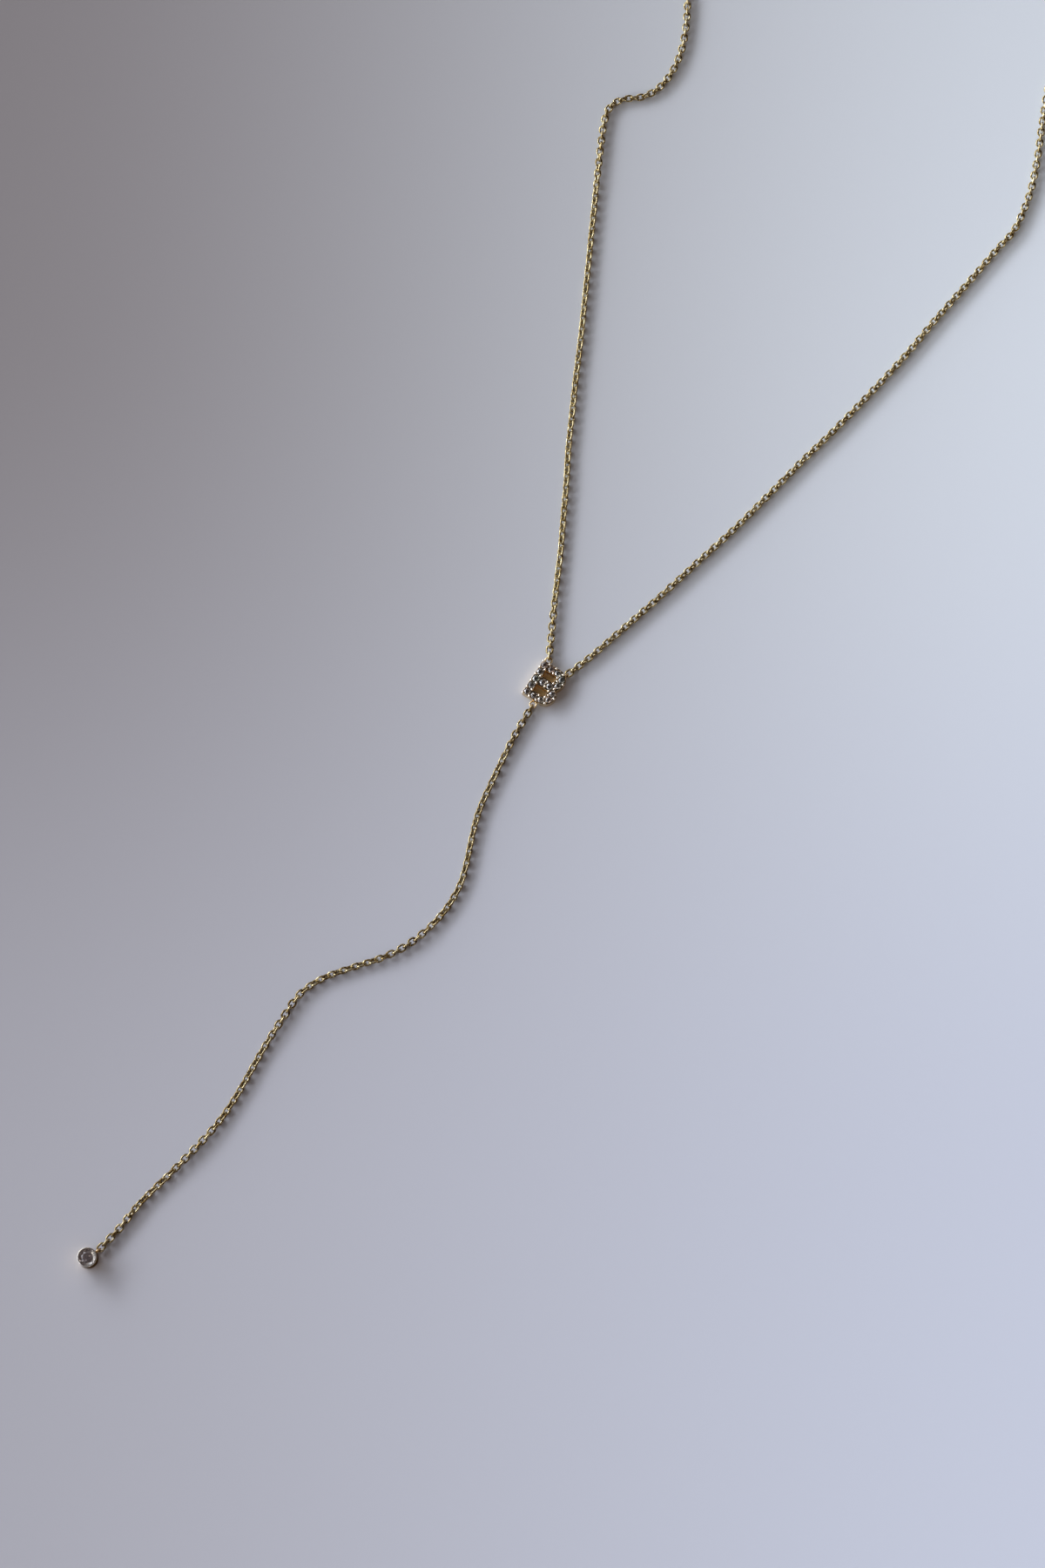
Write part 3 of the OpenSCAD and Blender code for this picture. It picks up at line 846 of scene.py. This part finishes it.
def linkTree(endCorners, wireSides):
    tree, given, result = newGeometryTree("linkRow", [
        ("Link Count", "Int"), ("End Reach", "Float"), ("First Turn", "Int"), ("Link Length", "Float"),
        ("Link Width", "Float"), ("Wire", "Float"), ("Wobble", "Float"), ("Seed", "Int"),
        ("Metal", "Material")])
    g = given.outputs
    # one link: the same number of corners to each round end
    index = addNode(tree, "GeometryNodeInputIndex").outputs[0]
    half = calc(tree, "FLOOR", calc(tree, "DIVIDE", index, float(endCorners)))
    corner = calc(tree, "MODULO", index, float(endCorners))
    swept = calc(tree, "ADD", calc(tree, "MULTIPLY", corner, math.pi / (endCorners - 1)),
                 calc(tree, "MULTIPLY", half, math.pi))
    angle = calc(tree, "SUBTRACT", swept, math.pi / 2)
    endShift = calc(tree, "MULTIPLY", calc(tree, "SUBTRACT", g["Link Length"], g["Link Width"]),
                    calc(tree, "SUBTRACT", 0.5, half))
    bend = calc(tree, "DIVIDE", calc(tree, "SUBTRACT", g["Link Width"], g["Wire"]), 2.0)
    x = calc(tree, "ADD", endShift, calc(tree, "MULTIPLY", bend, calc(tree, "COSINE", angle)))
    y = calc(tree, "MULTIPLY", bend, calc(tree, "SINE", angle))
    spot = addNode(tree, "ShaderNodeCombineXYZ", {0: x, 1: y}).outputs[0]
    loop = addNode(tree, "GeometryNodeMeshCircle", {"Vertices": 2 * endCorners}, fill_type="NONE").outputs[0]
    oval = addNode(tree, "GeometryNodeSetPosition", {"Geometry": loop, "Position": spot}).outputs[0]
    ovalCurve = addNode(tree, "GeometryNodeMeshToCurve", {0: oval}).outputs[0]
    section = addNode(tree, "GeometryNodeCurvePrimitiveCircle",
                      {"Resolution": wireSides, "Radius": calc(tree, "DIVIDE", g["Wire"], 2.0)}).outputs[0]
    link = addNode(tree, "GeometryNodeCurveToMesh", {"Curve": ovalCurve, "Profile Curve": section}).outputs[0]
    # the middles of the links, evenly along the route
    route = addNode(tree, "GeometryNodeMeshToCurve", {0: g["Geometry"]}).outputs[0]
    full = addNode(tree, "GeometryNodeCurveLength", {0: route}).outputs[0]
    run = addNode(tree, "GeometryNodeTrimCurve",
                  {0: route, 4: g["End Reach"], 5: calc(tree, "SUBTRACT", full, g["End Reach"])},
                  mode="LENGTH").outputs[0]
    spots = addNode(tree, "GeometryNodeCurveToPoints", {"Curve": run, "Count": g["Link Count"]}, mode="COUNT")
    # every second link lies a quarter turn on, over the route's own roll
    roll = addNode(tree, "GeometryNodeInputNamedAttribute", {"Name": "roll"}, data_type="FLOAT").outputs[0]
    quarter = calc(tree, "MULTIPLY", calc(tree, "MODULO", calc(tree, "ADD", index, g["First Turn"]), 2.0),
                   math.pi / 2)
    sway = addNode(tree, "FunctionNodeRandomValue",
                   {2: calc(tree, "MULTIPLY", g["Wobble"], -1.0), 3: g["Wobble"], "Seed": g["Seed"]},
                   data_type="FLOAT").outputs[1]
    turn = calc(tree, "ADD", calc(tree, "ADD", roll, quarter), sway)
    # the row is lifted until the taller of each two neighbours rests on the surface
    tallest = calc(tree, "MAXIMUM", calc(tree, "ABSOLUTE", calc(tree, "SINE", turn)),
                   calc(tree, "ABSOLUTE", calc(tree, "COSINE", turn)))
    lift = calc(tree, "ADD", calc(tree, "MULTIPLY", bend, tallest), calc(tree, "DIVIDE", g["Wire"], 2.0))
    raised = addNode(tree, "GeometryNodeSetPosition",
                     {"Geometry": spots.outputs["Points"],
                      "Offset": addNode(tree, "ShaderNodeCombineXYZ", {2: lift}).outputs[0]}).outputs[0]
    along = addNode(tree, "FunctionNodeAlignRotationToVector", {"Vector": spots.outputs["Tangent"]},
                    axis="X", pivot_axis="Z").outputs[0]
    spin = addNode(tree, "FunctionNodeAxisAngleToRotation", {"Axis": (1, 0, 0), "Angle": turn}).outputs[0]
    facing = addNode(tree, "FunctionNodeRotateRotation", {"Rotation": along, "Rotate By": spin},
                     rotation_space="LOCAL").outputs[0]
    row = addNode(tree, "GeometryNodeInstanceOnPoints",
                  {"Points": raised, "Instance": link, "Rotation": facing}).outputs[0]
    solid = addNode(tree, "GeometryNodeRealizeInstances", {0: row}).outputs[0]
    smooth = addNode(tree, "GeometryNodeSetShadeSmooth", {0: solid}).outputs[0]
    dressed = addNode(tree, "GeometryNodeSetMaterial", {0: smooth, "Material": g["Metal"]}).outputs[0]
    tree.links.new(dressed, result.inputs[0])
    return tree


def makeChain(name, tree, s, start, end, metal, replaced):
    route, length = routeMesh([start] + s["route"] + [end], s["rolls"])
    grown = growMesh(name, route, tree, {
        "Link Count": s["count"], "End Reach": chainSet["endReach"] * mm, "First Turn": s["firstTurn"],
        "Link Length": chainSet["linkLength"] * mm, "Link Width": chainSet["linkWidth"] * mm,
        "Wire": chainSet["wire"] * mm, "Wobble": math.radians(chainSet["wobble"]), "Seed": s["seed"],
        "Metal": metal})
    print("stage: route", name, round(length, 2), "mm,", s["count"], "links")
    finishPiece(name, grown, [], replaced)


links = linkTree(chainSet["endCorners"], chainSet["wireSides"])
claspLeft = besidePoint(claspSet["center"], -claspReach, claspSet["turn"])
claspRight = besidePoint(claspSet["center"], claspReach, claspSet["turn"])
cupEye = besidePoint(cupSet["center"], cupReach, cupSet["eyeTurn"])
makeChain("neckChainLeft", links, leftChain, laidPoint(*leftRing), claspLeft, chainGold,
          ["neck_chain_left", "neck_chain_left_back"])
makeChain("neckChainRight", links, rightChain, laidPoint(*rightEye), claspRight, chainGold,
          ["neck_chain_right", "neck_chain_right_back"])
makeChain("dropChain", links, dropChain, laidPoint(*footRing), cupEye, dropShadeGold, ["drop_chain"])


# floor and soft light, in metres

# the four corner colours paint shade and light across the floor, darkest at the far left and lightest at the
# far right
floorSet = {
    "size": 3.0,
    "shadedFarLeft": (0.46, 0.44, 0.455, 1),
    "litFarRight": (0.88, 0.94, 0.99, 1),
    "shadedNearLeft": (0.65, 0.655, 0.71, 1),
    "litNearRight": (0.72, 0.76, 0.86, 1),
    "acrossEnds": (-0.075, 0.075),
    "alongEnds": (-0.07, 0.055),
    "dish": 2.3,
    "roughness": 0.4,
}


def makeFloor(s):
    half = s["size"] / 2
    corners = [(-half, -half, 0), (half, -half, 0), (half, half, 0), (-half, half, 0)]
    mesh = meshFrom("floor", corners, [(0, 1, 2, 3)])
    material, tree, shader, place = newMaterial("floorGlazePaintedShade")
    shader["Roughness"].default_value = s["roughness"]
    # the surface is very slightly dished, so its far side turns towards the window
    tilt = calcVector(tree, "MULTIPLY", place, (-s["dish"], -s["dish"], 0))
    facing = calcVector(tree, "NORMALIZE", calcVector(tree, "ADD", tilt, (0, 0, 1)))
    feed(tree, facing, shader["Normal"])
    # the floor's colour runs from dark on the far left to light on the right: painted shade and light that
    # stand for the plate's curve
    parts = addNode(tree, "ShaderNodeSeparateXYZ", {0: place}).outputs
    across = mapRange(tree, parts[0], s["acrossEnds"], kind="SMOOTHSTEP")
    along = mapRange(tree, parts[1], s["alongEnds"], kind="SMOOTHSTEP")
    near = mixColor(tree, across, s["shadedNearLeft"], s["litNearRight"])
    far = mixColor(tree, across, s["shadedFarLeft"], s["litFarRight"])
    feed(tree, mixColor(tree, along, near, far), shader["Base Color"])
    mesh.materials.append(material)
    addObject("floor", mesh)


lightSet = {
    "window": {"place": (-0.76, 0.37, 0.37), "size": (1.0, 0.20), "power": 4.8,
               "color": (0.93, 0.97, 1.08)},
    "core": {"place": (-0.68, 0.51, 0.38), "size": (0.22, 0.22), "power": 0.62,
             "color": (1.0, 0.99, 0.97)},
    "lamp": {"place": (-0.74, -0.41, 0.38), "size": (0.18, 0.18), "power": 0.86,
             "color": (1.0, 0.99, 0.97)},
    "rightSpot": {"place": (0.42, 0.30, 0.80), "size": (0.08, 0.08), "power": 0.22,
                  "color": (1.0, 0.93, 0.9)},
    "farSpot": {"place": (-0.10, 0.75, 0.60), "size": (0.08, 0.08), "power": 0.25,
                "color": (1.0, 0.96, 0.9)},
    "nearSpot": {"place": (0.12, -0.62, 0.72), "size": (0.08, 0.08), "power": 0.20,
                 "color": (1.0, 0.96, 0.95)},
}


def makeLight(name, s):
    # a soft rectangle that faces the letter
    data = bpy.data.lights.new(name, "AREA")
    data.shape = "RECTANGLE"
    data.size, data.size_y = s["size"]
    data.energy = s["power"]
    data.color = s["color"]
    light = addObject(name, data)
    light.location = s["place"]
    light.rotation_mode = "QUATERNION"
    light.rotation_quaternion = (-Vector(s["place"])).to_track_quat("-Z", "Y")


worldSet = {
    "toward": (-0.79, 0.40, 0.45),
    "squeeze": (1.0, 0.75, 1.4),
    "reach": (0.35, 1.15),
    "bright": (1.62, 1.70, 1.90, 1),
    "dim": (0.04, 0.036, 0.036, 1),
    "glow": (0.34, 0.235, 0.17, 1),
    "patchScale": 2.2,
    "patchDetail": 2.0,
    "patchEdges": (0.4, 0.65),
    "zenith": (0.022, 0.02, 0.021, 1),
    "zenithEdges": (0.55, 0.78),
    "strength": 1.24,
}


def makeWorld(s):
    # a dim, uneven room that is bright on the window's side and dark overhead
    world = bpy.data.worlds.new("room")
    world.use_nodes = True
    tree = world.node_tree
    way = addNode(tree, "ShaderNodeTexCoord").outputs["Generated"]
    apart = calcVector(tree, "MULTIPLY", calcVector(tree, "SUBTRACT", way, s["toward"]), s["squeeze"])
    lit = mapRange(tree, calcVector(tree, "LENGTH", apart), s["reach"], (1.0, 0.0), "SMOOTHSTEP")
    uneven = patchShare(tree, way, s["patchScale"], s["patchDetail"], s["patchEdges"])
    room = mixColor(tree, uneven, s["dim"], s["glow"])
    height = addNode(tree, "ShaderNodeSeparateXYZ", {0: way}).outputs[2]
    above = mapRange(tree, height, s["zenithEdges"], kind="SMOOTHSTEP")
    color = mixColor(tree, above, mixColor(tree, lit, room, s["bright"]), s["zenith"])
    background = tree.nodes["Background"].inputs
    feed(tree, color, background[0])
    background[1].default_value = s["strength"]
    bpy.context.scene.world = world


makeFloor(floorSet)
for name, values in lightSet.items():
    makeLight(name, values)
makeWorld(worldSet)
bpy.context.scene.view_settings.view_transform = "Standard"
print("stage: floor and light ready")
